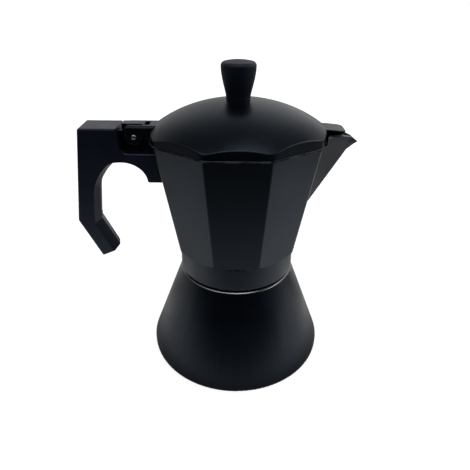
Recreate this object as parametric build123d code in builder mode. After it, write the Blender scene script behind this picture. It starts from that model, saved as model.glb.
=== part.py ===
"""Stovetop moka pot: cone boiler, octagonal jug with a V spout, hinged domed lid and side handle.

Millimetres. +Z is up and the origin is the middle of the underside. The handle is on the -X side,
the spout on the +X side and the safety valve at the back, on +Y.
"""
from build123d import *
import math
import os

os.makedirs("parts", exist_ok=True)

# Clearances
running_gap = 0.06       # pin in a bore that turns on it
press_gap = 0.05         # pieces that are pushed or screwed together for good
loose_gap = 0.35         # round pieces that lift out of each other
rest_gap = 0.05          # faces that lie on each other

# Boiler
base_radius = 57.8
base_band = 3.0          # upright edge under the cone
base_edge_round = 0.7
boiler_height = 60.6     # flat shoulder that the jug's collar stands above
shoulder_set = 0.2       # shoulder's edge inside the collar
shoulder_round = 1.7
boiler_wall = 3.2
boiler_floor = 5.0
floor_round = 4.0
neck_radius = 30.0
neck_wall = 2.8
neck_height = 9.0

# Screw thread between boiler and jug
thread_pitch = 3.0
thread_depth = 1.0
thread_flank = 1.0       # half of the ridge's foot
thread_crest = 0.25      # half of the ridge's flat top
thread_turns = 1.25
thread_root_sink = 0.3   # how far the ridge is sunk into its wall

# Steel disc under the boiler for induction hobs
induction_margin = 6.8   # disc's edge inside the boiler's edge
induction_thickness = 1.5
induction_chamfer = 0.3

# Safety valve, square to the cone's wall
valve_drop = 26.6        # valve's middle below the shoulder
valve_shank_radius = 4.0
valve_shank_length = 7.0
valve_boss_radius = 7.5
valve_boss_depth = 6.0
valve_spot_radius = 7.0  # flat turned into the cone under the washer
valve_spot_depth = 0.7
valve_washer_radius = 6.4
valve_washer_thickness = 0.8
valve_hex_flats = 11.0
valve_hex_height = 4.0
valve_nose_radius = 4.6
valve_nose_length = 2.2
valve_chamber_radius = 2.7
valve_seat_thickness = 2.4
valve_inlet_radius = 1.2
valve_cap_thickness = 1.1
valve_cap_spigot = 0.8
plunger_head_thickness = 1.2
plunger_stem_radius = 0.85
plunger_stem_show = 1.6  # how far the stem stands out of the cap
spring_wire_radius = 0.3
spring_coil_radius = 1.75
spring_turns = 5

# Coffee funnel
funnel_wall = 0.8
funnel_flange_set = 0.2  # flange's edge inside the neck's outside
funnel_flange = 0.8
basket_depth = 22.6
funnel_cone_height = 8.5
stem_bore = 2.6
stem_clearance = 5.0     # stem's end above the boiler's floor

# Perforated plates
sieve_hole_radius = 0.75
funnel_plate_thickness = 0.8
funnel_plate_rings = 5
funnel_plate_border = 5.0
filter_plate_lap = 0.4   # filter plate's edge outside the neck's bore
filter_plate_thickness = 0.8
filter_plate_rings = 5
filter_plate_border = 5.6

# Rubber gasket
gasket_lap = 1.0         # gasket's edge outside the neck
gasket_width = 5.2
gasket_thickness = 3.6
gasket_round = 0.6

# Jug: collar below, eight flat sides above
collar_wall = 3.65
collar_gap = 2.0         # dark gap between shoulder and collar
collar_height = 14.1
side_height = 67.9       # height of the flat sides, from the collar to the rim
rim_half_x = 44.6
rim_half_y = 41.25
rim_front_half = 17.1    # half the width of the front side at the rim
rim_side_half = 21.8     # half the width of the spout side at the rim
foot_inset_x = 2.6       # flat sides' foot inside the collar
foot_inset_y = 0.6
foot_front_half = 12.95
ridge_round = 2.0        # ridges of the front and back sides
side_ridge_round = 4.0   # ridges of the spout side and the handle side
jug_wall = 3.0
jug_floor_thickness = 2.6
chamber_ledge = 3.95     # rest for the filter plate around the hollow under the floor
chamber_rise = 1.6

# Spout: V beak on the +X side, as distance out of the jug's side at the rim and height above the rim
spout_apex_drop = 53.0   # keel's foot below the rim
spout_apex_half = 0.8
spout_apex_stand = 0.4   # how far the keel's foot stands out of the jug's side
spout_keel_out = 17.8
spout_keel_rise = -6.7
spout_lip_out = 21.3
spout_lip_rise = -3.7
spout_tip_out = 23.6
spout_tip_rise = -2.2
spout_nose_out = 19.5
spout_nose_rise = 0.9
spout_brow_out = 13.4
spout_brow_rise = 3.0
spout_top_rise = 4.8
spout_wall = 2.3
spout_rim_margin = 2.4   # spout's foot inside the jug's ridges at the rim
spout_flare_share = 0.2  # part of the half width over which the lip flares out of the flat flanks
spout_channel_rise = 9.0 # channel's lower end above the keel's foot

# Coffee column in the jug
column_spigot_radius = 4.6
column_flange_radius = 9.0
column_flange = 1.5
column_foot_radius = 6.4
column_top_radius = 5.2
column_bore = 2.5
column_drop = 18.6       # column's top below the rim
cap_radius = 7.4
cap_skirt = 4.0
cap_height = 10.0
cap_wall = 1.4
cap_outlet_radius = 1.7
cap_outlet_sill = 0.6    # outlet's lower edge above the tube's top
cap_edge_round = 1.6

# Lid: heights above the rim
lid_wall = 2.0
lid_inset = 0.4          # lid's skirt inside the jug's rim
lid_overhang = 5.4       # round ends of the lid outside the jug's sides
lid_gap = 0.5            # spout's walls clear of the lid's round end
lid_end_rise = 4.6       # dome's edge at the round ends
dome_rise = 21.1
dome_stretch = 1.214     # dome is this much longer along X than along Y
dome_shift = 1.0         # dome's middle towards the spout
tongue_out = 14.8        # tongue's end out of the jug's side
tongue_half = 7.0
tongue_thickness = 1.7
tongue_root_rise = 7.0
tongue_end_rise = 5.5
tongue_corner_round = 3.5

# Lid hinge: lug of the jug between two ears of the lid, as distances from the hinge's axis
hinge_out = 13.1         # axis out of the jug's side
hinge_rise = 0.9         # axis above the rim
pin_radius = 1.5
pin_half_length = 6.9
pin_end_round = 0.9
lug_half = 3.2
lug_rise = 6.8
lug_front = 5.9
lug_back = 6.7
lug_round = 1.6
lug_web_drop = 1.2
tenon_length = 16.3
tenon_drop = 7.5         # tenon's underside below the axis
tenon_rise = 3.0
ear_half = 6.4
ear_radius = 4.4
ear_slot = 8.7           # front end of the slot between the ears
ear_rise = 6.3
ear_plate_rise = 1.2     # underside of the ears' plate above the axis
ear_web = 6.4            # web under the plate, towards the lid, starts this far from the axis
ear_chamfer = 1.1
ear_gap = 0.3

# Handle: points as distance out of the jug's side at the rim and height above the rim
handle_half = 9.3        # half the width at the top
handle_tip_half = 7.8    # half the width at the lower tip
handle_rise = 6.2
handle_top_out = 42.9
handle_corner_round = 1.2
handle_elbow_at = (52.5, -51.0)
handle_tip_outer_at = (41.3, -76.9)
handle_tip_inner_at = (33.2, -73.3)
handle_inner_elbow_at = (42.6, -52.0)
handle_arch_left_at = (40.3, -35.0)
handle_arch_haunch_at = (35.3, -21.4)
handle_arch_shoulder_at = (28.9, -14.5)
handle_arch_top_at = (21.2, -12.8)
handle_arch_right_at = (7.0, -25.0)
handle_ridge = 2.0       # inner side's middle line stands this far out of its edges
handle_seat_gap = 1.2    # floor of the recess below the tenon
handle_recess_top_out = 22.0
handle_recess_foot_out = 20.4
handle_recess_round = 4.0
handle_elbow_round = 3.0
handle_tip_round = 0.8
handle_root_round = 1.0
handle_edge_round = 1.2
handle_screw_in = 4.0    # screw's middle from the tenon's end
screw_radius = 1.9
screw_head_radius = 3.6
screw_head_height = 2.2
screw_land = 3.2         # screw's seat above the arch
screw_cover = 3.0        # tenon above the screw's end
screw_slot_width = 1.0
screw_slot_depth = 1.1

# Knob on the lid: radius and height above its seat
knob_foot_radius = 6.6
knob_waist_radius = 7.85
knob_waist_rise = 6.8
knob_belly_radius = 8.8
knob_belly_rise = 11.1
knob_shoulder_radius = 9.45
knob_shoulder_rise = 17.7
knob_rise = 19.0
knob_top_round = 1.2
knob_crown = 0.9         # middle of the top above its edge
knob_screw_radius = 2.0
knob_screw_rise = 8.7
knob_screw_head_radius = 4.0
knob_screw_head_height = 2.4
knob_washer_radius = 5.4
knob_washer_thickness = 0.8
knob_boss_radius = 6.8
knob_boss_depth = 3.0    # lid's thickness under the knob

# Sizes and heights that follow from those above
neck_bore = neck_radius - neck_wall
neck_top = boiler_height + neck_height
collar_bore = neck_radius + 2 * thread_depth + loose_gap
collar_radius = collar_bore + collar_wall
shoulder_radius = collar_radius - shoulder_set
induction_radius = base_radius - induction_margin
valve_height = boiler_height - valve_drop
basket_radius = neck_bore - loose_gap
basket_bore = basket_radius - funnel_wall
basket_bottom = neck_top - basket_depth
funnel_cone_bottom = basket_bottom - funnel_cone_height
stem_bottom = boiler_floor + stem_clearance
filter_plate_radius = neck_bore + filter_plate_lap
gasket_radius = neck_radius + gasket_lap
gasket_bore = gasket_radius - gasket_width
flange_foot = neck_top + rest_gap
flange_top = flange_foot + funnel_flange
gasket_foot = flange_top + rest_gap
gasket_top = gasket_foot + gasket_thickness
plate_foot = gasket_top + rest_gap
plate_top = plate_foot + filter_plate_thickness
plate_ceiling = plate_top + rest_gap
chamber_top = plate_ceiling + chamber_rise
jug_floor = chamber_top + jug_floor_thickness
collar_bottom = boiler_height + collar_gap
collar_top = collar_bottom + collar_height
rim_height = collar_top + side_height
foot_half_x = collar_radius - foot_inset_x
foot_half_y = collar_radius - foot_inset_y
lid_reach = rim_half_x + lid_overhang
hinge_x = -rim_half_x - hinge_out
hinge_z = rim_height + hinge_rise


def save(builder, name):
    """Label a finished sub-part and write its STEP file."""
    builder.part.label = name
    export_step(builder.part, f"parts/{name}.step")


def boiler_radius(height):
    """Outside radius of the boiler's cone at a height."""
    share = (height - base_band) / (boiler_height - base_band)
    return base_radius + (shoulder_radius - base_radius) * share


def jug_octagon(height):
    """Corners of the jug's eight-sided outline at a height, anticlockwise."""
    share = (height - collar_top) / (rim_height - collar_top)
    corner_slope = (rim_half_y - rim_side_half) / (rim_half_x - rim_front_half)
    foot_side_half = foot_half_y - (foot_half_x - foot_front_half) * corner_slope
    half_x = foot_half_x + (rim_half_x - foot_half_x) * share
    half_y = foot_half_y + (rim_half_y - foot_half_y) * share
    front = foot_front_half + (rim_front_half - foot_front_half) * share
    side = foot_side_half + (rim_side_half - foot_side_half) * share
    right = [(half_x, -side), (half_x, side), (front, half_y)]
    left = [(-front, half_y), (-half_x, side), (-half_x, -side)]
    return right + left + [(-front, -half_y), (front, -half_y)]


def jug_side_x(height):
    """Distance of the jug's spout side and handle side from the axis at a height."""
    return max(x for x, y in jug_octagon(height))


def sieve_holes(field_radius, rings):
    """Cut rings of small holes, six more in each ring, into the open sketch."""
    Circle(sieve_hole_radius, mode=Mode.SUBTRACT)
    for ring in range(1, rings + 1):
        with PolarLocations(field_radius * ring / rings, 6 * ring):
            Circle(sieve_hole_radius, mode=Mode.SUBTRACT)


def thread_ridge(radius, start_height, height):
    """Sweep one screw ridge along a helix on a wall; a negative height points to the axis."""
    sink = -math.copysign(thread_root_sink, height)
    with BuildLine() as path:
        Helix(pitch=thread_pitch, height=thread_pitch * thread_turns, radius=radius,
              center=(0, 0, start_height))
    with BuildSketch(Plane(origin=path.line @ 0, x_dir=(1, 0, 0), z_dir=(0, 1, 0))) as ridge:
        Polygon((sink, -thread_flank), (height, -thread_crest), (height, thread_crest),
                (sink, thread_flank), align=None)
    sweep(sections=ridge.sketch, path=path.line, is_frenet=True)


cone_tilt = math.degrees(math.atan2(base_radius - shoulder_radius, boiler_height - base_band))
wall_across = boiler_wall / math.cos(math.radians(cone_tilt))
ceiling_height = boiler_height - boiler_wall
valve_normal = (0, math.cos(math.radians(cone_tilt)), math.sin(math.radians(cone_tilt)))
valve_plane = Plane(origin=(0, boiler_radius(valve_height), valve_height),
                    x_dir=(1, 0, 0), z_dir=valve_normal)
thread_start = boiler_height + thread_flank + loose_gap

# Boiler: hollow cone with a threaded neck, a boss for the valve and a recess underneath
with BuildPart() as boiler:
    with BuildSketch(Plane.XZ):
        Polygon((0, 0), (base_radius, 0), (base_radius, base_band), (shoulder_radius, boiler_height),
                (neck_radius, boiler_height), (neck_radius, neck_top), (0, neck_top), align=None)
    revolve(axis=Axis.Z)
    fillet(boiler.edges().group_by(Axis.Z)[0], radius=base_edge_round)
    shoulder = boiler.edges().filter_by(GeomType.CIRCLE).filter_by(
        lambda ring: abs(ring.radius - shoulder_radius) < press_gap)
    fillet(shoulder, radius=shoulder_round)
    with BuildSketch(Plane.XZ):
        Polygon((0, boiler_floor), (boiler_radius(boiler_floor) - wall_across, boiler_floor),
                (boiler_radius(ceiling_height) - wall_across, ceiling_height),
                (neck_bore, ceiling_height), (neck_bore, neck_top), (0, neck_top), align=None)
        inner_corner = vertices().sort_by(Axis.X)[-1]
        fillet(inner_corner, radius=floor_round)
    revolve(axis=Axis.Z, mode=Mode.SUBTRACT)
    with Locations(valve_plane.offset(-valve_spot_depth)):
        Cylinder(valve_boss_radius, valve_boss_depth - valve_spot_depth,
                 align=(Align.CENTER, Align.CENTER, Align.MAX))
        Cylinder(valve_spot_radius, boiler_wall,
                 align=(Align.CENTER, Align.CENTER, Align.MIN), mode=Mode.SUBTRACT)
    with Locations(valve_plane):
        Cylinder(valve_shank_radius + press_gap, 3 * valve_boss_depth, mode=Mode.SUBTRACT)
    Cylinder(induction_radius + press_gap, induction_thickness,
             align=(Align.CENTER, Align.CENTER, Align.MIN), mode=Mode.SUBTRACT)
    thread_ridge(neck_radius, thread_start, thread_depth)

# Induction plate: steel disc, level with the rim of the underside
with BuildPart() as induction_plate:
    Cylinder(induction_radius, induction_thickness, align=(Align.CENTER, Align.CENTER, Align.MIN))
    chamfer(induction_plate.edges().group_by(Axis.Z)[0], length=induction_chamfer)

# Safety valve: heights along the valve's own axis, from the cone's surface outward
washer_foot = -valve_spot_depth
hex_foot = washer_foot + valve_washer_thickness
nose_end = hex_foot + valve_hex_height + valve_nose_length
shank_end = hex_foot - valve_shank_length
seat_height = shank_end + valve_seat_thickness
plunger_back = seat_height + rest_gap + plunger_head_thickness
spigot_end = nose_end - valve_cap_spigot
plunger_head_radius = valve_chamber_radius - loose_gap

with BuildPart(valve_plane) as valve_washer:
    with Locations((0, 0, washer_foot)):
        Cylinder(valve_washer_radius, valve_washer_thickness,
                 align=(Align.CENTER, Align.CENTER, Align.MIN))
    Cylinder(valve_shank_radius + press_gap, boiler_wall, mode=Mode.SUBTRACT)

with BuildPart(valve_plane) as valve_body:
    with Locations((0, 0, shank_end)):
        Cylinder(valve_shank_radius, valve_shank_length, align=(Align.CENTER, Align.CENTER, Align.MIN))
    with BuildSketch(valve_plane.offset(hex_foot)):
        RegularPolygon(radius=valve_hex_flats / 2, side_count=6, major_radius=False)
    extrude(amount=valve_hex_height)
    with Locations((0, 0, hex_foot + valve_hex_height)):
        Cylinder(valve_nose_radius, valve_nose_length, align=(Align.CENTER, Align.CENTER, Align.MIN))
    with Locations((0, 0, seat_height)):
        Cylinder(valve_chamber_radius, nose_end - seat_height,
                 align=(Align.CENTER, Align.CENTER, Align.MIN), mode=Mode.SUBTRACT)
    with Locations((0, 0, shank_end)):
        Cylinder(valve_inlet_radius, valve_seat_thickness,
                 align=(Align.CENTER, Align.CENTER, Align.MIN), mode=Mode.SUBTRACT)

with BuildPart(valve_plane) as valve_cap:
    with Locations((0, 0, nose_end)):
        Cylinder(valve_nose_radius, valve_cap_thickness, align=(Align.CENTER, Align.CENTER, Align.MIN))
        Cylinder(valve_chamber_radius - press_gap, valve_cap_spigot,
                 align=(Align.CENTER, Align.CENTER, Align.MAX))
        Cylinder(plunger_stem_radius + loose_gap, 4 * valve_cap_thickness, mode=Mode.SUBTRACT)

with BuildPart(valve_plane) as valve_plunger:
    with Locations((0, 0, plunger_back)):
        Cylinder(plunger_head_radius, plunger_head_thickness,
                 align=(Align.CENTER, Align.CENTER, Align.MAX))
        Cylinder(plunger_stem_radius, nose_end + valve_cap_thickness + plunger_stem_show - plunger_back,
                 align=(Align.CENTER, Align.CENTER, Align.MIN))

spring_length = spigot_end - plunger_back - 2 * (spring_wire_radius + rest_gap)
spring_pitch = spring_length / spring_turns
spring_foot = valve_plane.offset(plunger_back + rest_gap + spring_wire_radius)

with BuildPart() as valve_spring:
    with BuildLine() as coil:
        Helix(pitch=spring_pitch, height=spring_length, radius=spring_coil_radius,
              center=spring_foot.origin, direction=spring_foot.z_dir)
    with BuildSketch(Plane(origin=coil.line @ 0, z_dir=coil.line % 0)):
        Circle(spring_wire_radius)
    sweep(is_frenet=True)

print(f"valve spring: {spring_pitch - 2 * spring_wire_radius:.2f} mm between its turns")

# Funnel: coffee basket hanging by its flange in the neck, with a stem almost to the floor
flange_radius = neck_radius - funnel_flange_set

with BuildPart() as funnel:
    with BuildSketch(Plane.XZ):
        Polygon((stem_bore, stem_bottom), (stem_bore + funnel_wall, stem_bottom),
                (stem_bore + funnel_wall, funnel_cone_bottom),
                (basket_radius, basket_bottom - funnel_wall), (basket_radius, flange_foot),
                (flange_radius, flange_foot), (flange_radius, flange_top),
                (basket_bore, flange_top), (basket_bore, basket_bottom),
                (stem_bore, funnel_cone_bottom), align=None)
    revolve(axis=Axis.Z)

# Funnel plate: sieve at the bottom of the basket
with BuildPart() as funnel_plate:
    with BuildSketch(Plane.XY.offset(basket_bottom)):
        Circle(basket_bore - press_gap)
        sieve_holes(basket_bore - funnel_plate_border, funnel_plate_rings)
    extrude(amount=funnel_plate_thickness)

# Gasket: rubber ring between the funnel's flange and the jug
with BuildPart() as gasket:
    with BuildSketch(Plane.XY.offset(gasket_foot)):
        Circle(gasket_radius)
        Circle(gasket_bore, mode=Mode.SUBTRACT)
    extrude(amount=gasket_thickness)
    fillet(gasket.edges().filter_by(GeomType.CIRCLE), radius=gasket_round)

# Filter plate: sieve that the gasket holds up against the jug
with BuildPart() as filter_plate:
    with BuildSketch(Plane.XY.offset(plate_foot)):
        Circle(filter_plate_radius)
        sieve_holes(filter_plate_radius - filter_plate_border, filter_plate_rings)
    extrude(amount=filter_plate_thickness)

# Jug: eight-sided body on a round threaded collar, with spout and hinge lug in one casting
seat_under_jug = gasket_top + rest_gap
gasket_recess = gasket_radius + loose_gap
plate_recess = filter_plate_radius + loose_gap
chamber_radius = plate_recess - chamber_ledge
column_hole = column_spigot_radius + press_gap
rise_to_rim = rim_height - collar_bottom
spout_apex_height = rim_height - spout_apex_drop
spout_keel_height = rim_height + spout_keel_rise
spout_keel_x = rim_half_x + spout_keel_out
spout_tip_height = rim_height + spout_tip_rise
spout_tip_x = rim_half_x + spout_tip_out
spout_top_height = rim_height + spout_top_rise
tenon_end_x = hinge_x - tenon_length
tenon_bottom = hinge_z - tenon_drop
tenon_top = hinge_z + tenon_rise
lug_web_top = hinge_z - lug_web_drop
lug_root_x = -jug_side_x(lug_web_top) + jug_wall / 2
screw_x = tenon_end_x + handle_screw_in
screw_end_height = tenon_top - screw_cover
screw_seat_height = rim_height + handle_arch_top_at[1] + screw_land


def spout_half_width(height):
    """Half the width of the spout's foot on the jug's side at a height."""
    share = min(1, (height - spout_apex_height) / (rim_height - spout_apex_height))
    return spout_apex_half + (rim_side_half - spout_rim_margin - spout_apex_half) * share


def spout_section(height, keel_x, root_x, half_width, setback):
    """Section of the beak, level at a height: two flat flanks and the lip's flare along the keel."""
    straight_x = min(keel_x, spout_foot_x + keel_slope * (height - spout_apex_height)) - setback
    bend_x = root_x + (straight_x - root_x) * (1 - spout_flare_share)
    bend_y = half_width * spout_flare_share
    with BuildSketch(Plane.XY.offset(height)) as section:
        Polygon((root_x, -half_width), (bend_x, -bend_y), (keel_x - setback, 0), (bend_x, bend_y),
                (root_x, half_width), align=None)
    return section.sketch


spout_foot_x = jug_side_x(spout_apex_height) + spout_apex_stand
spout_keel = [
    (spout_apex_height, spout_foot_x),
    (spout_keel_height, spout_keel_x),
    (rim_height + spout_lip_rise, rim_half_x + spout_lip_out),
    (spout_tip_height, spout_tip_x),
    (spout_top_height, spout_tip_x),
]
keel_slope = (spout_keel_x - spout_foot_x) / (spout_keel_height - spout_apex_height)
channel_foot_height = spout_apex_height + spout_channel_rise
channel_foot_x = spout_foot_x + keel_slope * spout_channel_rise
spout_channel = [(channel_foot_height, channel_foot_x)] + spout_keel[1:]
keel_half = spout_half_width(spout_keel_height)
channel_setback = spout_wall * math.hypot(spout_keel_x - rim_half_x, keel_half) / keel_half
beak_outside = [
    spout_section(level, keel_x, jug_side_x(level) - jug_wall / 2, spout_half_width(level), 0)
    for level, keel_x in spout_keel
]
beak_channel = [
    spout_section(level, keel_x, jug_side_x(level) - 2 * jug_wall, spout_half_width(level) - spout_wall,
                  channel_setback)
    for level, keel_x in spout_channel
]

with BuildPart() as jug:
    for level in (collar_top, rim_height):
        with BuildSketch(Plane.XY.offset(level)):
            Polygon(*jug_octagon(level), align=None)
            fillet(vertices().filter_by(lambda corner: abs(corner.X) < abs(corner.Y)), radius=ridge_round)
            side_corners = [corner for corner in jug_octagon(level) if abs(corner[0]) > abs(corner[1])]
            side_ridges = [vertices().sort_by_distance(corner)[0] for corner in side_corners]
            fillet(side_ridges, radius=side_ridge_round)
    loft(ruled=True)
    with Locations((0, 0, collar_bottom)):
        Cylinder(collar_radius, collar_top - collar_bottom, align=(Align.CENTER, Align.CENTER, Align.MIN))
    with BuildSketch(Plane.XZ):
        Polygon((0, collar_bottom), (collar_radius, collar_bottom), (collar_radius, collar_top),
                (collar_radius + rise_to_rim, collar_top + rise_to_rim),
                (0, collar_top + rise_to_rim), align=None)
    revolve(axis=Axis.Z, mode=Mode.INTERSECT)
    loft(sections=beak_outside, ruled=True)
    with BuildSketch(Plane.XZ):
        Polygon((0, spout_top_height), (rim_half_x, spout_top_height),
                (rim_half_x + spout_brow_out, rim_height + spout_brow_rise),
                (rim_half_x + spout_nose_out, rim_height + spout_nose_rise),
                (spout_tip_x, spout_tip_height), (spout_tip_x, 2 * rim_height),
                (0, 2 * rim_height), align=None)
    extrude(amount=2 * rim_half_y, both=True, mode=Mode.SUBTRACT)
    with Locations((0, 0, rim_height)):
        Cylinder(lid_reach + lid_gap, rim_height, align=(Align.CENTER, Align.CENTER, Align.MIN),
                 mode=Mode.SUBTRACT)
    for level in (jug_floor, rim_height):
        with BuildSketch(Plane.XY.offset(level)):
            Polygon(*jug_octagon(level), align=None)
            offset(amount=-jug_wall, kind=Kind.INTERSECTION)
    loft(ruled=True, mode=Mode.SUBTRACT)
    loft(sections=beak_channel, ruled=True, mode=Mode.SUBTRACT)
    with BuildSketch(Plane.XZ):
        Polygon((0, collar_bottom), (collar_bore, collar_bottom), (collar_bore, gasket_foot),
                (gasket_recess, gasket_foot), (gasket_recess, seat_under_jug),
                (plate_recess, seat_under_jug), (plate_recess, plate_ceiling),
                (chamber_radius, plate_ceiling), (column_hole, chamber_top),
                (column_hole, jug_floor), (0, jug_floor), align=None)
    revolve(axis=Axis.Z, mode=Mode.SUBTRACT)
    thread_ridge(collar_bore, collar_bottom + thread_flank + rest_gap, -thread_depth)
    with BuildSketch(Plane.XZ):
        Polygon((lug_root_x, tenon_bottom), (tenon_end_x, tenon_bottom), (tenon_end_x, tenon_top),
                (hinge_x - lug_back, tenon_top), (hinge_x - lug_back, hinge_z + lug_rise),
                (hinge_x + lug_front, hinge_z + lug_rise), (hinge_x + lug_front, lug_web_top),
                (lug_root_x, lug_web_top), align=None)
        front_corner = vertices().group_by(Axis.Y)[-1].sort_by(Axis.X)[-1]
        fillet(front_corner, radius=lug_round)
    extrude(amount=lug_half, both=True)
    with Locations((hinge_x, 0, hinge_z)):
        Cylinder(pin_radius, 4 * lug_half, rotation=(90, 0, 0), mode=Mode.SUBTRACT)
    with Locations((screw_x, 0, tenon_bottom)):
        Cylinder(screw_radius, screw_end_height - tenon_bottom,
                 align=(Align.CENTER, Align.CENTER, Align.MIN), mode=Mode.SUBTRACT)

# Coffee column: tube pressed into the jug's floor
column_top = rim_height - column_drop

with BuildPart() as column:
    with BuildSketch(Plane.XZ):
        Polygon((column_bore, chamber_top), (column_spigot_radius, chamber_top),
                (column_spigot_radius, jug_floor), (column_flange_radius, jug_floor),
                (column_flange_radius, jug_floor + column_flange),
                (column_foot_radius, jug_floor + column_flange),
                (column_top_radius, column_top), (column_bore, column_top), align=None)
    revolve(axis=Axis.Z)

# Column cap: hood that turns the coffee sideways through two outlets
cap_bottom = column_top - cap_skirt
column_taper = (column_foot_radius - column_top_radius) / (column_top - jug_floor - column_flange)
cap_bore = column_top_radius + column_taper * cap_skirt + press_gap

with BuildPart() as column_cap:
    with Locations((0, 0, cap_bottom)):
        Cylinder(cap_radius, cap_height, align=(Align.CENTER, Align.CENTER, Align.MIN))
    fillet(column_cap.edges().group_by(Axis.Z)[-1], radius=cap_edge_round)
    with Locations((0, 0, cap_bottom)):
        Cylinder(cap_bore, cap_skirt, align=(Align.CENTER, Align.CENTER, Align.MIN), mode=Mode.SUBTRACT)
    with Locations((0, 0, column_top)):
        Cylinder(column_top_radius - cap_wall, cap_height - cap_skirt - cap_wall,
                 align=(Align.CENTER, Align.CENTER, Align.MIN), mode=Mode.SUBTRACT)
    with Locations((0, 0, column_top + cap_outlet_sill + cap_outlet_radius)):
        Cylinder(cap_outlet_radius, 4 * cap_radius, rotation=(90, 0, 0), mode=Mode.SUBTRACT)

# Handle: one moulding with an arch for the fingers, slotted over the jug's tenon
def behind_rim(point):
    """Point of the handle from its distance out of the jug's side and its height above the rim."""
    return (-rim_half_x - point[0], rim_height + point[1])


handle_top = rim_height + handle_rise
recess_floor = tenon_bottom - handle_seat_gap
recess_foot_x = -rim_half_x - handle_recess_foot_out
recess_top_x = -rim_half_x - handle_recess_top_out
outer_top = (-rim_half_x - handle_top_out, handle_top)
elbow = behind_rim(handle_elbow_at)
tip_outer = behind_rim(handle_tip_outer_at)
tip_inner = behind_rim(handle_tip_inner_at)
inner_elbow = behind_rim(handle_inner_elbow_at)
arch_left = behind_rim(handle_arch_left_at)
arch_haunch = behind_rim(handle_arch_haunch_at)
arch_shoulder = behind_rim(handle_arch_shoulder_at)
arch_top = behind_rim(handle_arch_top_at)
arch_right = behind_rim(handle_arch_right_at)
seat_x = -jug_side_x(recess_floor) - press_gap
root_x = -jug_side_x(arch_right[1]) - press_gap
tip_past = (2 * tip_inner[0] - tip_outer[0], 2 * tip_inner[1] - tip_outer[1])
gap_foot = (2 * tip_inner[0] - inner_elbow[0], 2 * tip_inner[1] - inner_elbow[1])
side_lean = math.atan2(handle_half - handle_tip_half, handle_top - tip_outer[1])


def finger_gap(plane, stand):
    """Outline of the gap for the fingers on a plane, smaller by the stand of the middle line."""
    centre = (arch_top[0], arch_right[1])
    foot = (gap_foot[0] + stand, gap_foot[1])
    bend = (inner_elbow[0] + stand, inner_elbow[1])
    arch = []
    for point in (arch_left, arch_haunch, arch_shoulder, arch_top, arch_right):
        share = stand / math.dist(point, centre)
        arch.append((point[0] + (centre[0] - point[0]) * share,
                     point[1] + (centre[1] - point[1]) * share))
    with BuildSketch(plane) as outline:
        with BuildLine():
            Polyline(foot, bend, arch[0])
            Spline(*arch[:4], tangents=((arch[0][0] - bend[0], arch[0][1] - bend[1]), (1, 0)))
            EllipticalCenterArc(centre, arch[4][0] - centre[0], arch[3][1] - centre[1],
                                start_angle=0, arc_size=90)
            Polyline(arch[4], (-foot_half_x, centre[1]), (-foot_half_x, foot[1]), foot)
        make_face()
        fillet(vertices().sort_by_distance(bend)[0], radius=handle_elbow_round)
        fillet(vertices().sort_by_distance(arch[4])[0], radius=handle_root_round)
    return outline.sketch


with BuildPart() as handle:
    with BuildSketch(Plane.XZ):
        Polygon((seat_x, recess_floor), (recess_foot_x, recess_floor), (recess_top_x, handle_top),
                outer_top, elbow, tip_outer, tip_past, (root_x, arch_right[1]), align=None)
        fillet(vertices().sort_by_distance((recess_foot_x, recess_floor))[0], radius=handle_recess_round)
        fillet(vertices().sort_by_distance(outer_top)[0], radius=handle_corner_round)
        fillet(vertices().sort_by_distance(elbow)[0], radius=handle_elbow_round)
        fillet(vertices().sort_by_distance(tip_outer)[0], radius=handle_tip_round)
    extrude(amount=handle_half, both=True)
    for side in (-1, 1):
        flank = Plane(origin=(0, side * handle_half, handle_top), x_dir=(1, 0, 0),
                      z_dir=(0, side * math.cos(side_lean), -math.sin(side_lean)))
        split(bisect_by=flank, keep=Keep.BOTTOM)
    flank_faces = handle.faces().sort_by(Axis.Y)
    fillet(flank_faces[0].edges() + flank_faces[-1].edges(), radius=handle_edge_round)
    for side in (-1, 1):
        ridge_outline = finger_gap(Plane.XZ, handle_ridge)
        edge_outline = finger_gap(Plane.XZ.offset(side * handle_half), 0)
        loft(sections=[ridge_outline, edge_outline], ruled=True, mode=Mode.SUBTRACT)
    with Locations((tenon_end_x - press_gap, 0, (tenon_bottom + tenon_top) / 2)):
        Box(recess_foot_x + handle_recess_round - tenon_end_x, 2 * (lug_half + press_gap),
            tenon_top - tenon_bottom + 2 * press_gap, align=(Align.MIN, Align.CENTER, Align.CENTER),
            mode=Mode.SUBTRACT)
    with Locations((screw_x, 0, screw_seat_height)):
        Cylinder(screw_radius + press_gap, screw_end_height - screw_seat_height,
                 align=(Align.CENTER, Align.CENTER, Align.MIN), mode=Mode.SUBTRACT)
        Cylinder(screw_head_radius + press_gap, arch_top[1] - arch_right[1],
                 align=(Align.CENTER, Align.CENTER, Align.MAX), mode=Mode.SUBTRACT)

# Handle screw: from the top of the arch up into the tenon
with BuildPart() as handle_screw:
    with Locations((screw_x, 0, screw_seat_height)):
        Cylinder(screw_radius, screw_end_height - screw_seat_height,
                 align=(Align.CENTER, Align.CENTER, Align.MIN))
        Cylinder(screw_head_radius, screw_head_height, align=(Align.CENTER, Align.CENTER, Align.MAX))
    with Locations((screw_x, 0, screw_seat_height - screw_head_height)):
        Box(2 * screw_head_radius, screw_slot_width, screw_slot_depth,
            align=(Align.CENTER, Align.CENTER, Align.MIN), mode=Mode.SUBTRACT)

# Hinge pin: fixed in the jug's lug, the lid's ears turn on its ends
with BuildPart() as hinge_pin:
    with Locations((hinge_x, 0, hinge_z)):
        Cylinder(pin_radius, 2 * pin_half_length, rotation=(90, 0, 0))
    fillet(hinge_pin.edges().filter_by(GeomType.CIRCLE), radius=pin_end_round)

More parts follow.
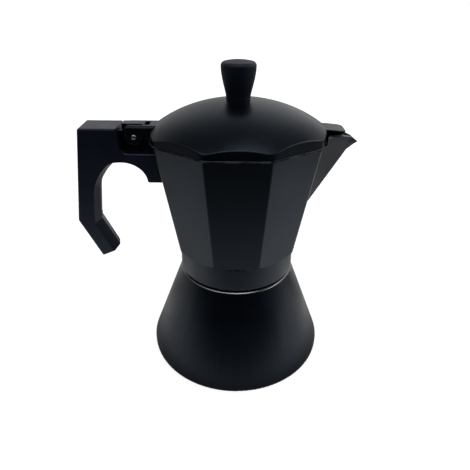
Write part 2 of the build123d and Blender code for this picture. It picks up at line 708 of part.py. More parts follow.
# Lid: octagonal skirt under a shallow dome, with a tongue over the spout and two hinge ears
lid_bottom = rim_height + rest_gap
dome_top = rim_height + dome_rise
dome_fall = dome_rise - lid_end_rise
dome_radius = ((lid_reach / dome_stretch) ** 2 + dome_fall ** 2) / (2 * dome_fall)
dome_centre = dome_top - dome_radius
tongue_root_height = rim_height + tongue_root_rise
tongue_end_height = rim_height + tongue_end_rise
tongue_end_x = rim_half_x + tongue_out
ear_top = hinge_z + ear_rise
ear_back_x = hinge_x - ear_radius
ear_plate_bottom = hinge_z + ear_plate_rise
knob_seat = dome_centre + math.sqrt(dome_radius ** 2 - knob_foot_radius ** 2)


def lid_outline():
    """Jug's front, back and slanting sides, closed by a circle towards spout and hinge."""
    slant = (rim_half_y - rim_side_half) / (rim_half_x - rim_front_half)
    end_x = lid_reach + lid_wall
    end_half = rim_half_y - (end_x - rim_front_half) * slant
    right = [(end_x, -end_half), (end_x, end_half), (rim_front_half, rim_half_y)]
    left = [(-x, y) for x, y in reversed(right)]
    with BuildSketch() as outline:
        Polygon(*right, *left, (-rim_front_half, -rim_half_y), (rim_front_half, -rim_half_y), align=None)
        Circle(lid_reach, mode=Mode.INTERSECT)
    return outline.sketch


def domed_block(outline, inset, dome_drop):
    """Upright block on an outline, set in at its sides, under the dome lowered by a drop."""
    with BuildPart() as block:
        with Locations((dome_shift / dome_stretch, 0, dome_centre)):
            Sphere(dome_radius - dome_drop)
        scale(by=(dome_stretch, 1, 1))
        with BuildSketch(Plane.XY.offset(lid_bottom)):
            add(outline)
            fillet(vertices(), radius=ridge_round)
            offset(amount=-inset)
        extrude(amount=dome_top, mode=Mode.INTERSECT)
    return block.part


with BuildSketch() as rim_outline:
    Polygon(*jug_octagon(rim_height), align=None)

with BuildPart() as lid:
    add(domed_block(lid_outline(), lid_inset, 0))
    add(domed_block(rim_outline.sketch, lid_inset + lid_wall, lid_wall), mode=Mode.SUBTRACT)
    with Locations((0, 0, knob_seat)):
        Cylinder(knob_boss_radius, knob_boss_depth, align=(Align.CENTER, Align.CENTER, Align.MAX))
        Cylinder(2 * knob_boss_radius, dome_top, align=(Align.CENTER, Align.CENTER, Align.MIN),
                 mode=Mode.SUBTRACT)
        Cylinder(knob_screw_radius + press_gap, 4 * knob_boss_depth, mode=Mode.SUBTRACT)
    skirt_inside = rim_half_x - lid_inset - lid_wall / 2
    with BuildSketch(Plane.XZ):
        Polygon((skirt_inside, tongue_root_height), (skirt_inside, tongue_root_height - tongue_thickness),
                (tongue_end_x, tongue_end_height - tongue_thickness), (tongue_end_x, tongue_end_height),
                align=None)
    extrude(amount=tongue_half, both=True)
    fillet(lid.edges().filter_by(Axis.Z).group_by(Axis.X)[-1], radius=tongue_corner_round)
    with BuildSketch(Plane.XZ):
        Polygon((-skirt_inside, lid_bottom), (-skirt_inside, ear_top),
                (ear_back_x + ear_chamfer, ear_top), (ear_back_x, ear_top - ear_chamfer),
                (ear_back_x, hinge_z), (hinge_x, hinge_z), (hinge_x + ear_radius, ear_plate_bottom),
                (hinge_x + ear_web, ear_plate_bottom), (hinge_x + ear_web, lid_bottom), align=None)
        with Locations((hinge_x, hinge_z)):
            Circle(ear_radius)
    extrude(amount=ear_half, both=True)
    long_edges = lid.edges().filter_by(Axis.X)
    top_edges = long_edges.filter_by_position(Axis.Z, ear_top - rest_gap, ear_top + rest_gap)
    chamfer(top_edges, length=ear_chamfer)
    with Locations((hinge_x + ear_slot, 0, hinge_z)):
        Box(2 * ear_radius - 2 * hinge_x, 2 * (lug_half + ear_gap), 4 * ear_radius,
            align=(Align.MAX, Align.CENTER, Align.CENTER), mode=Mode.SUBTRACT)
    with Locations((hinge_x, 0, hinge_z)):
        Cylinder(pin_radius + running_gap, 4 * ear_half, rotation=(90, 0, 0), mode=Mode.SUBTRACT)

# Knob: turned plastic grip, wider at the top
knob_top = knob_seat + knob_rise
knob_screw_end = knob_seat + knob_screw_rise
knob_shoulder = (knob_shoulder_radius, knob_seat + knob_shoulder_rise)
crown_radius = (knob_shoulder_radius ** 2 + knob_crown ** 2) / (2 * knob_crown)
crown_angle = math.degrees(math.asin(knob_shoulder_radius / crown_radius))

with BuildPart() as knob:
    with BuildSketch(Plane.XZ):
        with BuildLine():
            Line(knob_shoulder, (knob_shoulder_radius, knob_top))
            CenterArc((0, knob_top + knob_crown - crown_radius), crown_radius,
                      start_angle=90 - crown_angle, arc_size=crown_angle)
            Polyline((0, knob_top + knob_crown), (0, knob_seat), (knob_foot_radius, knob_seat))
            Spline((knob_foot_radius, knob_seat), (knob_waist_radius, knob_seat + knob_waist_rise),
                   (knob_belly_radius, knob_seat + knob_belly_rise), knob_shoulder,
                   tangents=((0, 1), (0, 1)))
        make_face()
        fillet(vertices().sort_by_distance((knob_shoulder_radius, knob_top))[0], radius=knob_top_round)
    revolve(axis=Axis.Z)
    with Locations((0, 0, knob_seat)):
        Cylinder(knob_screw_radius, knob_screw_end - knob_seat,
                 align=(Align.CENTER, Align.CENTER, Align.MIN), mode=Mode.SUBTRACT)

# Knob screw and washer: inside the lid
boss_bottom = knob_seat - knob_boss_depth
washer_bottom = boss_bottom - knob_washer_thickness

with BuildPart() as knob_washer:
    with BuildSketch(Plane.XY.offset(washer_bottom)):
        Circle(knob_washer_radius)
        Circle(knob_screw_radius + press_gap, mode=Mode.SUBTRACT)
    extrude(amount=knob_washer_thickness)

with BuildPart() as knob_screw:
    with Locations((0, 0, washer_bottom)):
        Cylinder(knob_screw_radius, knob_screw_end - washer_bottom,
                 align=(Align.CENTER, Align.CENTER, Align.MIN))
        Cylinder(knob_screw_head_radius, knob_screw_head_height,
                 align=(Align.CENTER, Align.CENTER, Align.MAX))
    fillet(knob_screw.edges().group_by(Axis.Z)[0], radius=knob_screw_head_height / 2)
    with Locations((0, 0, washer_bottom - knob_screw_head_height)):
        Box(2 * knob_screw_head_radius, screw_slot_width, screw_slot_depth,
            align=(Align.CENTER, Align.CENTER, Align.MIN), mode=Mode.SUBTRACT)

save(boiler, "boiler")
save(induction_plate, "induction_plate")
save(valve_body, "valve_body")
save(valve_washer, "valve_washer")
save(valve_cap, "valve_cap")
save(valve_plunger, "valve_plunger")
save(valve_spring, "valve_spring")
save(funnel, "funnel")
save(funnel_plate, "funnel_plate")
save(gasket, "gasket")
save(filter_plate, "filter_plate")
save(jug, "jug")
save(column, "column")
save(column_cap, "column_cap")
save(handle, "handle")
save(handle_screw, "handle_screw")
save(hinge_pin, "hinge_pin")
save(lid, "lid")
save(knob, "knob")
save(knob_screw, "knob_screw")
save(knob_washer, "knob_washer")
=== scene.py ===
"""Moka pot in black coated aluminium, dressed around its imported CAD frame, in metres."""
import math

import bmesh
import bpy
from mathutils import Matrix, Vector


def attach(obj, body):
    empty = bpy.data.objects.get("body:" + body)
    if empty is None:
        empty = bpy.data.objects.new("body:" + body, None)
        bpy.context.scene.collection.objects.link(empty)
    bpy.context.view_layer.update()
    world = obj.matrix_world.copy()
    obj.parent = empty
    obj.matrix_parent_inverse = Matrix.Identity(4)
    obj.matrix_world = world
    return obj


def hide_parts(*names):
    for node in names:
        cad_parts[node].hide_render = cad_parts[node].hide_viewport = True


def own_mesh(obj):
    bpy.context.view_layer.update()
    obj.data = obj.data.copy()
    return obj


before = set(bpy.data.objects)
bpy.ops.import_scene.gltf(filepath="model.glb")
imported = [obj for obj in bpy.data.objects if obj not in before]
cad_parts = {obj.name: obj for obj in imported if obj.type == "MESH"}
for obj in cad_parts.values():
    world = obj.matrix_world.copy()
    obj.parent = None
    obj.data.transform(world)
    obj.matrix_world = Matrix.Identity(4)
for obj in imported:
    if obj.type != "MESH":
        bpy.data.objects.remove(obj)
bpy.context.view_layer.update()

MM = 0.001

# Camera, fitted to the circles of the base, the collar and the knob
IMAGE_SIDE = 470               # pixels; the photograph is square
FOCAL_PIXELS = 420.0
SENSOR_WIDTH = 36.0
NEAR_CLIP = 10 * MM
CAMERA_PLACE = Vector((-0.89, -232.96, 218.64)) * MM
CAMERA_PITCH = 30.835          # degrees below the horizon
CAMERA_ROLL = 0.54
CAMERA_YAW = 0.048

# Copies of the CAD nodes
MERGE_GAP = 0.002 * MM         # corners nearer than this are one
FLAT_ANGLE = math.radians(0.6)     # faces that turn less than this are one
SHARP_ANGLE = 28               # degrees; edges that turn more are rounded
ROUND_SEGMENTS = 3
CUT_GAP = 1e-6                 # metres; corners this near a cut lie on it

# Rounding of the pieces' edges, in millimetres
BOILER_ROUND = 0.25
JUG_ROUND = 0.4
HANDLE_ROUND = 0.35
LID_END_ROUND = 0.45
KNOB_ROUND = 0.2
KNOB_SHARP_ANGLE = 50

# Boiler, in millimetres: bare metal starts where the shoulder begins to round over
SHOULDER_START = 59.55
INSIDE_FLOOR = 4.5             # faces that look up between these heights are inside
INSIDE_TOP = 58.0
UPWARD = 0.9                   # a face's normal rises more than this where it looks up
INWARD = -0.05                 # and leans less than this away from the axis where it looks in

# Lid, in millimetres, as in the part's source
LID_FOOT = 144.65
LID_FRONT = 40.85              # flat front and back from the axis
LID_SLANT = 43.152             # slanting sides from the axis
LID_SLANT_TURN = 54.728        # degrees from the spout's direction to the way that a slanting side faces
LID_REACH = 49.6               # round ends towards spout and hinge
LID_INNER_END = 42.2           # inside of those ends
LID_WALL = 2.0
DOME_TOP = 165.7
DOME_RADIUS = 59.65
DOME_STRETCH = 1.214           # dome is this much longer along X than along Y
DOME_SHIFT = 1.0               # dome's middle towards the spout
KNOB_SEAT = 165.33
KNOB_SEAT_RADIUS = 6.6
KNOB_HOLE_RADIUS = 2.05
KNOB_BOSS_RADIUS = 6.8
KNOB_BOSS_DEPTH = 3.0          # lid's thickness under the knob

# Lid's small forms, in millimetres, and the rows of points that draw it
LID_CORNER_POWER = 70          # how tightly the outline's corners are rounded
LID_EDGE_ROUND = 0.6
LID_FOOT_FLARE = 0.5           # skirt's foot sweeps out this far over the jug's rim
LID_FOOT_ROUND = 0.15
LID_STEPS = 320                # points around the lid
DOME_ROWS = 22                 # rows of points on dome, edge, flare and foot
EDGE_ROWS = 6
FLARE_ROWS = 4
FOOT_ROWS = 2

# Tongue and ears, in millimetres
TONGUE_CUT = 49.9              # they start at these distances along X
EARS_CUT = -48.5
TONGUE_HALF_WIDTH = 7.05
EARS_HALF_WIDTH = 6.45
LID_END_RUN = 6.0              # and run this far on into the lid's ends

# Knob, in millimetres, heights above its seat: waisted flank, round shoulder and low crown
KNOB_BORE_RADIUS = 2.0
KNOB_RADIUS = 9.45
KNOB_FLANK_FOOT = (6.35, 3.24)     # these two points pull the flank's curve in at its foot
KNOB_FLANK_HEAD = (KNOB_RADIUS, 10.31)     # and upright at its head
KNOB_SHOULDER = 17.1
KNOB_SHOULDER_ROUND = 2.0
KNOB_TOP = 19.9
KNOB_STEPS = 64                # points around the knob
FLANK_ROWS = 10                # rows of points on flank, shoulder and crown
SHOULDER_ROWS = 6
CROWN_ROWS = 4

# Jug, in millimetres: pad on which the tenon lies in the handle's recess
TENON_PAD_SIZE = (28.0, 6.3, 1.4)
TENON_PAD_PLACE = (-59.9, 0.0, 137.55)

# Handle: inner side of the lower grip
GRIP_FACING = Vector((0.915, 0.0, 0.404))
GRIP_ALIGNMENT = 0.975         # cosine; its two faces look this nearly the same way
GRIP_AREA = 100.0              # square millimetres; its smaller neighbours stay as they are
GRIP_LEAN = 0.10               # millimetres that it gives way for each millimetre from its ridge

# Floor, in metres; brightness 1 is white. To every ray but the camera's the floor glows: a painted pool of
# light with painted shadows
FLOOR_HALF = 3.0
FLOOR_SHIFT = 2.6              # most of it lies behind the pot
FLOOR_SPAN = (-0.30, 0.30)     # before and behind the pot, where the floor's light changes
# Stops: share of the way, and brightness there
FLOOR_STOPS = ((0.0, 0.02), (0.057, 0.06), (0.167, 0.16), (0.28, 0.38), (0.312, 0.58), (0.392, 0.88),
               (0.467, 0.74), (0.543, 0.70), (0.60, 0.36), (0.64, 0.42), (0.67, 0.68), (0.80, 0.75),
               (1.0, 0.60))
# Middles of the painted shadows in the floor's glow
FOOT_SHADOW = (0.0, -0.012, 0.0)
SPOUT_SHADOW = (0.205, 0.075, 0.0)
POT_SHADOW = (0.0, 0.19, 0.0)
# Each fade: what it runs along, where it starts and ends, and the brightness there
FLOOR_FADES = (("aside", 0.20, 0.50, 1.0, 0.16), ("from_foot", 0.058, 0.100, 0.28, 1.0),
               ("x", -0.08, 0.08, 0.84, 1.0), ("from_spout_shadow", 0.02, 0.07, 0.42, 1.0),
               ("from_pot_shadow", 0.06, 0.13, 0.20, 1.0))

# Studio around the pot, by direction; the backdrop's stops run from the camera's side to the far side
BACKDROP_STOPS = ((0.0, 0.012), (0.40, 0.03), (0.475, 0.11), (0.575, 0.16), (0.65, 0.24), (0.725, 0.40),
                  (0.80, 0.66), (0.90, 0.76), (0.975, 0.60), (1.0, 0.50))
BACKDROP_FADES = (("x", -0.35, 0.35, 0.88, 1.2), ("aside", 0.35, 0.65, 1.0, 0.6))
SIDE_HEIGHT = (("z", 0.50, 0.70, 1.0, 0.0), ("z", 0.22, 0.42, 0.04, 1.0))
LEFT_LIGHT = (("x", -0.68, -0.88, 0.0, 0.30),) + SIDE_HEIGHT
RIGHT_LIGHT = (("x", 0.68, 0.88, 0.0, 2.2),) + SIDE_HEIGHT
LEFT_FRONT_LIGHT = (("x", -0.36, -0.56, 0.0, 1.0), ("z", 0.45, 0.60, 0.0, 1.0),
                    ("y", -0.10, -0.35, 0.0, 1.0))
FRONT_HEIGHT = (("z", 0.68, 0.86, 0.0, 1.0),)
FRONT_MIDDLE = 0.15            # x of the middle of the nearer front light
NEAR_FRONT_LIGHT = (("y", -0.08, -0.42, 0.0, 2.8), ("from_middle", 0.06, 0.36, 1.0, 0.0)) + FRONT_HEIGHT
WIDE_FRONT_LIGHT = (("y", -0.25, -0.50, 0.0, 2.6), ("aside", 0.45, 0.75, 1.0, 0.0)) + FRONT_HEIGHT


def linear(hex_colour):
    """sRGB hex colour as linear RGBA."""
    parts = [int(hex_colour[i:i + 2], 16) / 255 for i in (1, 3, 5)]
    return tuple(c / 12.92 if c <= 0.04045 else ((c + 0.055) / 1.055) ** 2.4 for c in parts) + (1.0,)


def feed(tree, made, sockets):
    """Feed a node's inputs, by name or number: another node's output is linked, anything else is a value."""
    for name, value in sockets.items():
        if isinstance(value, bpy.types.NodeSocket):
            tree.links.new(value, made.inputs[name])
        else:
            made.inputs[name].default_value = value


def node(tree, kind, sockets=None, **settings):
    """Add a shader node with its settings and feed its inputs."""
    made = tree.nodes.new(kind)
    for name, value in settings.items():
        setattr(made, name, value)
    feed(tree, made, sockets or {})
    return made


def material(name):
    """New node material, its tree, its principled shader and Object coordinates."""
    made = bpy.data.materials.new(name)
    made.use_nodes = True
    tree = made.node_tree
    coords = node(tree, "ShaderNodeTexCoord").outputs["Object"]
    return made, tree, tree.nodes["Principled BSDF"], coords


def edge_mask(tree, radius, open_cosine, edge_cosine):
    """1 along sharp edges and 0 on open faces, from how far a rounded normal turns from the face's own."""
    rounded = node(tree, "ShaderNodeBevel", {"Radius": radius}, samples=6)
    face = node(tree, "ShaderNodeNewGeometry")
    turn = node(tree, "ShaderNodeVectorMath", {0: rounded.outputs["Normal"], 1: face.outputs["Normal"]},
                operation="DOT_PRODUCT")
    mask = node(tree, "ShaderNodeMapRange", {"Value": turn.outputs["Value"], "From Min": open_cosine,
                                             "From Max": edge_cosine})
    return mask.outputs["Result"]


def satin_black_coating():
    """Black non-stick coating sprayed on cast aluminium: satin, faint orange peel, light grey along its
    edges, partly rubbed coating and partly a painted highlight.
    """
    made, tree, shader, coords = material("satin_black_coating")
    peel_size, cloud_size, rub_and_glint_size, rub_and_glint_reach = 0.9 * MM, 22 * MM, 3.5 * MM, 0.8 * MM
    peel = node(tree, "ShaderNodeTexNoise", {"Vector": coords, "Scale": 1 / peel_size, "Detail": 2.0})
    cloud = node(tree, "ShaderNodeTexNoise", {"Vector": coords, "Scale": 1 / cloud_size, "Detail": 3.0})
    # Light grey in noisy spots along the sharp edges: partly rubbed coating, partly a painted highlight and
    # glint on the rounded edges
    rub_and_glint = node(tree, "ShaderNodeTexNoise", {"Vector": coords, "Scale": 1 / rub_and_glint_size, "Detail": 4.0})
    edge = edge_mask(tree, rub_and_glint_reach, 0.975, 0.84)
    wear_and_glint_spots = node(tree, "ShaderNodeMapRange", {"Value": rub_and_glint.outputs["Fac"], "From Min": 0.42,
                                              "From Max": 0.68})
    wear_and_highlight = node(tree, "ShaderNodeMath", {0: edge, 1: wear_and_glint_spots.outputs["Result"]}, operation="MULTIPLY")
    black = node(tree, "ShaderNodeMix", {"Factor": cloud.outputs["Fac"], "A": linear("#01040b"),
                                         "B": linear("#02070f")}, data_type="RGBA")
    worn_and_highlit = node(tree, "ShaderNodeMix", {"Factor": wear_and_highlight.outputs["Value"], "A": black.outputs["Result"],
                                        "B": linear("#606266")}, data_type="RGBA")
    gloss = node(tree, "ShaderNodeMapRange", {"Value": cloud.outputs["Fac"], "From Min": 0.3, "From Max": 0.7,
                                              "To Min": 0.26, "To Max": 0.33})
    bump = node(tree, "ShaderNodeBump", {"Height": peel.outputs["Fac"], "Strength": 0.06,
                                         "Distance": 0.05 * MM})
    feed(tree, shader, {"Base Color": worn_and_highlit.outputs["Result"], "Roughness": gloss.outputs["Result"],
                        "Normal": bump.outputs["Normal"], "IOR": 1.46, "Specular Tint": linear("#d2e6ff")})
    return made


def moulded_black_plastic(name, smooth, rough):
    """Black phenolic moulding: satin with a very fine grain, a little polished by hands along its edges."""
    made, tree, shader, coords = material(name)
    grain_size, cloud_size, polish_reach = 0.6 * MM, 14 * MM, 0.6 * MM
    polish = -0.08                 # change of roughness along the edges
    grain = node(tree, "ShaderNodeTexNoise", {"Vector": coords, "Scale": 1 / grain_size, "Detail": 2.0})
    cloud = node(tree, "ShaderNodeTexNoise", {"Vector": coords, "Scale": 1 / cloud_size, "Detail": 2.0})
    black = node(tree, "ShaderNodeMix", {"Factor": cloud.outputs["Fac"], "A": linear("#080f20"),
                                         "B": linear("#0c1426")}, data_type="RGBA")
    cloudy = node(tree, "ShaderNodeMapRange", {"Value": cloud.outputs["Fac"], "From Min": 0.3,
                                               "From Max": 0.7, "To Min": smooth, "To Max": rough})
    gloss = node(tree, "ShaderNodeMath", {0: edge_mask(tree, polish_reach, 0.98, 0.85), 1: polish,
                                          2: cloudy.outputs["Result"]}, operation="MULTIPLY_ADD")
    bump = node(tree, "ShaderNodeBump", {"Height": grain.outputs["Fac"], "Strength": 0.05,
                                         "Distance": 0.04 * MM})
    feed(tree, shader, {"Base Color": black.outputs["Result"], "Roughness": gloss.outputs["Value"],
                        "Normal": bump.outputs["Normal"], "IOR": 1.50, "Specular Tint": linear("#d6e8ff")})
    return made


def turned_metal(name, dark, light, roughness, line_width):
    """Bare turned or spun metal: fine rings around the pot's axis under a cloudy shade."""
    made, tree, shader, coords = material(name)
    cloud_size = 9 * MM
    axes = node(tree, "ShaderNodeSeparateXYZ", {"Vector": coords})
    level = node(tree, "ShaderNodeCombineXYZ", {"X": axes.outputs["X"], "Y": axes.outputs["Y"]})
    radius = node(tree, "ShaderNodeVectorMath", {0: level.outputs["Vector"]}, operation="LENGTH")
    rings = node(tree, "ShaderNodeCombineXYZ", {"X": radius.outputs["Value"], "Y": axes.outputs["Z"]})
    lines = node(tree, "ShaderNodeTexNoise", {"Vector": rings.outputs["Vector"], "Scale": 1 / line_width,
                                              "Detail": 3.0})
    cloud = node(tree, "ShaderNodeTexNoise", {"Vector": coords, "Scale": 1 / cloud_size, "Detail": 3.0})
    shade = node(tree, "ShaderNodeMath", {0: lines.outputs["Fac"], 1: cloud.outputs["Fac"], 2: 0.25},
                 operation="MULTIPLY_ADD")
    tint = node(tree, "ShaderNodeMix", {"Factor": shade.outputs["Value"], "A": linear(dark),
                                        "B": linear(light)}, data_type="RGBA")
    gloss = node(tree, "ShaderNodeMapRange", {"Value": lines.outputs["Fac"], "From Min": 0.3, "From Max": 0.7,
                                              "To Min": roughness, "To Max": roughness + 0.1})
    bump = node(tree, "ShaderNodeBump", {"Height": lines.outputs["Fac"], "Strength": 0.15,
                                         "Distance": 0.03 * MM})
    feed(tree, shader, {"Base Color": tint.outputs["Result"], "Roughness": gloss.outputs["Result"],
                        "Normal": bump.outputs["Normal"], "Metallic": 1.0})
    return made


def white_silicone_rubber():
    """Moulded silicone rubber: matt off-white with a dusty bloom."""
    made, tree, shader, coords = material("white_silicone_rubber")
    cloud_size, grain_size = 5 * MM, 0.4 * MM
    cloud = node(tree, "ShaderNodeTexNoise", {"Vector": coords, "Scale": 1 / cloud_size, "Detail": 4.0})
    grain = node(tree, "ShaderNodeTexNoise", {"Vector": coords, "Scale": 1 / grain_size, "Detail": 2.0})
    tint = node(tree, "ShaderNodeMix", {"Factor": cloud.outputs["Fac"], "A": linear("#d9d7cf"),
                                        "B": linear("#eceae3")}, data_type="RGBA")
    gloss = node(tree, "ShaderNodeMapRange", {"Value": cloud.outputs["Fac"], "To Min": 0.5, "To Max": 0.7})
    bump = node(tree, "ShaderNodeBump", {"Height": grain.outputs["Fac"], "Strength": 0.1,
                                         "Distance": 0.03 * MM})
    feed(tree, shader, {"Base Color": tint.outputs["Result"], "Roughness": gloss.outputs["Result"],
                        "Normal": bump.outputs["Normal"]})
    return made


def merged_copy(name, whole_faces=True):
    """Bmesh of a CAD node's shape with its loose triangles joined and, where asked, its flat faces whole."""
    bm = bmesh.new()
    bm.from_mesh(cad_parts[name].data)
    bmesh.ops.remove_doubles(bm, verts=bm.verts, dist=MERGE_GAP)
    if whole_faces:
        bmesh.ops.dissolve_limit(bm, angle_limit=FLAT_ANGLE, verts=bm.verts, edges=bm.edges)
    return bm


def keep_faces_flat(piece):
    """Let large faces rule the shading, so that flat ones look flat beside rounded edges."""
    weighted = piece.modifiers.new("flat_faces", "WEIGHTED_NORMAL")
    weighted.keep_sharp = True


def finished(bm, name, body, finishes, round_mm=0.0, angle=SHARP_ANGLE, node_name=None):
    """Smooth object from a bmesh, its sharp edges rounded, riding on its body and standing for its node."""
    for face in bm.faces:
        face.smooth = True
    mesh = bpy.data.meshes.new(name)
    bm.to_mesh(mesh)
    bm.free()
    piece = bpy.data.objects.new(name, mesh)
    bpy.context.collection.objects.link(piece)
    for finish in finishes:
        mesh.materials.append(finish)
    if round_mm:
        bevel = piece.modifiers.new("edge_round", "BEVEL")
        bevel.width = round_mm * MM
        bevel.segments = ROUND_SEGMENTS
        bevel.limit_method = "ANGLE"
        bevel.angle_limit = math.radians(angle)
        bevel.harden_normals = True
        keep_faces_flat(piece)
    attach(piece, body)
    if node_name:
        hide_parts(node_name)
    return piece


def boiler_casting(coating, metal):
    """Boiler: coated cone; shoulder, neck and inside are bare metal."""
    bm = merged_copy("boiler")
    for face in bm.faces:
        middle = face.calc_center_median() / MM
        outward = Vector((middle.x, middle.y, 0.0)).normalized().dot(face.normal)
        looks_up_inside = INSIDE_FLOOR < middle.z < INSIDE_TOP and face.normal.z > UPWARD
        if middle.z > SHOULDER_START or outward < INWARD or looks_up_inside:
            face.material_index = 1
    finished(bm, "boiler_casting", "boiler", (coating, metal), BOILER_ROUND, node_name="boiler")


def lid_sides(wall):
    """Flat sides of one quarter of the lid, set in by a wall: direction that each faces and its distance."""
    turn = math.radians(LID_SLANT_TURN)
    return (0.0, 1.0, LID_FRONT - wall), (math.cos(turn), math.sin(turn), LID_SLANT - wall)


def outline_radius(angle, sides, reach=math.inf):
    """Distance from the axis, in a direction, of an outline of flat sides with rounded corners and ends."""
    x, y = abs(math.cos(angle)), abs(math.sin(angle))
    total = sum(((side_x * x + side_y * y) / far) ** LID_CORNER_POWER for side_x, side_y, far in sides)
    return (total + reach ** -LID_CORNER_POWER) ** (-1 / LID_CORNER_POWER)


def dome_height(x, y, drop):
    """Height of the dome over a point, for the outside or for the inside that is lower by the wall."""
    across = ((x - DOME_SHIFT) / DOME_STRETCH) ** 2 + y ** 2
    return DOME_TOP - DOME_RADIUS + math.sqrt((DOME_RADIUS - drop) ** 2 - across)


def quarter_turn(steps, first=1):
    """Angles of a quarter turn's steps."""
    return [math.radians(90 * step / steps) for step in range(first, steps + 1)]


def lid_rows():
    """Rows of the lid's section from the knob's seat over the dome and the skirt to the inside and back to
    the knob's hole. Each is a rule that gives, for a direction, distance from the axis and height."""
    outside = lid_sides(0.0)
    inside = lid_sides(LID_WALL) + ((1.0, 0.0, LID_INNER_END),)

    def circle(radius):
        return lambda angle: radius

    def outer(inset):
        return lambda angle: outline_radius(angle, outside, LID_REACH) - inset

    def inner(angle):
        return outline_radius(angle, inside)

    def level(edge, height):
        return lambda angle: (edge(angle), height)

    def domed(edge, start=0.0, share=1.0, drop=0.0, lower=0.0):
        def rule(angle):
            radius = start + (edge(angle) - start) * share
            return radius, dome_height(radius * math.cos(angle), radius * math.sin(angle), drop) - lower
        return rule

    rows = [level(circle(KNOB_SEAT_RADIUS), KNOB_SEAT)]
    dome_edge = outer(LID_EDGE_ROUND + LID_FOOT_FLARE)
    for step in range(1, DOME_ROWS + 1):
        rows.append(domed(dome_edge, KNOB_SEAT_RADIUS, step / DOME_ROWS))
    for turn in quarter_turn(EDGE_ROWS):
        skirt = outer(LID_EDGE_ROUND * (1 - math.sin(turn)) + LID_FOOT_FLARE)
        rows.append(domed(skirt, lower=LID_EDGE_ROUND * (1 - math.cos(turn))))
    flare_foot = LID_FOOT + LID_FOOT_ROUND
    for turn in quarter_turn(FLARE_ROWS, first=0):
        flare = outer(LID_FOOT_FLARE * math.cos(turn))
        rows.append(level(flare, flare_foot + LID_FOOT_FLARE * (1 - math.sin(turn))))
    for turn in quarter_turn(FOOT_ROWS):
        foot = outer(LID_FOOT_ROUND * (1 - math.cos(turn)))
        rows.append(level(foot, LID_FOOT + LID_FOOT_ROUND * (1 - math.sin(turn))))
    rows.append(level(inner, LID_FOOT))
    for step in range(DOME_ROWS, -1, -2):
        rows.append(domed(inner, KNOB_BOSS_RADIUS, step / DOME_ROWS, drop=LID_WALL))
    boss_foot = KNOB_SEAT - KNOB_BOSS_DEPTH
    rows.append(level(circle(KNOB_BOSS_RADIUS), boss_foot))
    rows.append(level(circle(KNOB_HOLE_RADIUS), boss_foot))
    rows.append(level(circle(KNOB_HOLE_RADIUS), KNOB_SEAT))
    return rows


def lid_shell(coating):
    """Lid's dome, rounded edge, skirt and inside, grown row by row from the knob's hole."""
    bm = bmesh.new()
    bmesh.ops.create_circle(bm, segments=LID_STEPS, radius=KNOB_HOLE_RADIUS * MM,
                            matrix=Matrix.Translation((0.0, 0.0, KNOB_SEAT * MM)))
    rim = bm.edges[:]
    for rule in lid_rows():
        grown = bmesh.ops.extrude_edge_only(bm, edges=rim)["geom"]
        rim = [item for item in grown if isinstance(item, bmesh.types.BMEdge) and len(item.link_faces) == 1]
        for corner in {corner for edge in rim for corner in edge.verts}:
            angle = math.atan2(corner.co.y, corner.co.x)
            radius, height = rule(angle)
            corner.co = Vector((radius * math.cos(angle), radius * math.sin(angle), height)) * MM
    bmesh.ops.remove_doubles(bm, verts=bm.verts, dist=MERGE_GAP)
    bmesh.ops.recalc_face_normals(bm, faces=bm.faces)
    keep_faces_flat(finished(bm, "lid_shell", "lid", (coating,), node_name="lid"))


def cut_off(bm, place, outward):
    """Remove what lies beyond a plane and give back the edges of the cut."""
    everything = bm.verts[:] + bm.edges[:] + bm.faces[:]
    cut = bmesh.ops.bisect_plane(bm, geom=everything, dist=CUT_GAP, plane_co=Vector(place) * MM,
                                 plane_no=outward, clear_outer=True)
    return [item for item in cut["geom_cut"] if isinstance(item, bmesh.types.BMEdge)]


def lid_end(name, cut_x, half_width, coating):
    """Tongue or ears of the lid: the CAD lid beyond an upright plane, run on into the lid's end."""
    bm = merged_copy("lid")
    inward = math.copysign(1.0, -cut_x)
    for side in (-1.0, 1.0):
        cut_off(bm, (0.0, side * half_width, 0.0), (0.0, side, 0.0))
    rim = cut_off(bm, (cut_x, 0.0, 0.0), (inward, 0.0, 0.0))
    grown = bmesh.ops.extrude_edge_only(bm, edges=rim)["geom"]
    corners = [item for item in grown if isinstance(item, bmesh.types.BMVert)]
    bmesh.ops.translate(bm, vec=(inward * LID_END_RUN * MM, 0.0, 0.0), verts=corners)
    bmesh.ops.remove_doubles(bm, verts=bm.verts, dist=MERGE_GAP)
    piece = finished(bm, name, "lid", (coating,), LID_END_ROUND)


def jug_casting(coating):
    """Jug with its spout, lug and tenon, and the pad on which the tenon lies in the handle's recess."""
    bm = merged_copy("jug")
    pad = bmesh.ops.create_cube(bm, size=1.0)["verts"]
    bmesh.ops.scale(bm, vec=Vector(TENON_PAD_SIZE) * MM, verts=pad)
    bmesh.ops.translate(bm, vec=Vector(TENON_PAD_PLACE) * MM, verts=pad)
    finished(bm, "jug_casting", "jug", (coating,), JUG_ROUND, node_name="jug")


def valve_spring_coil(steel):
    """Valve's spring, a copy of the CAD node with a mesh of its own, riding on the boiler."""
    bm = merged_copy("valve_spring", whole_faces=False)
    piece = finished(bm, "valve_spring_coil", "boiler", (steel,), node_name="valve_spring")
    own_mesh(piece)


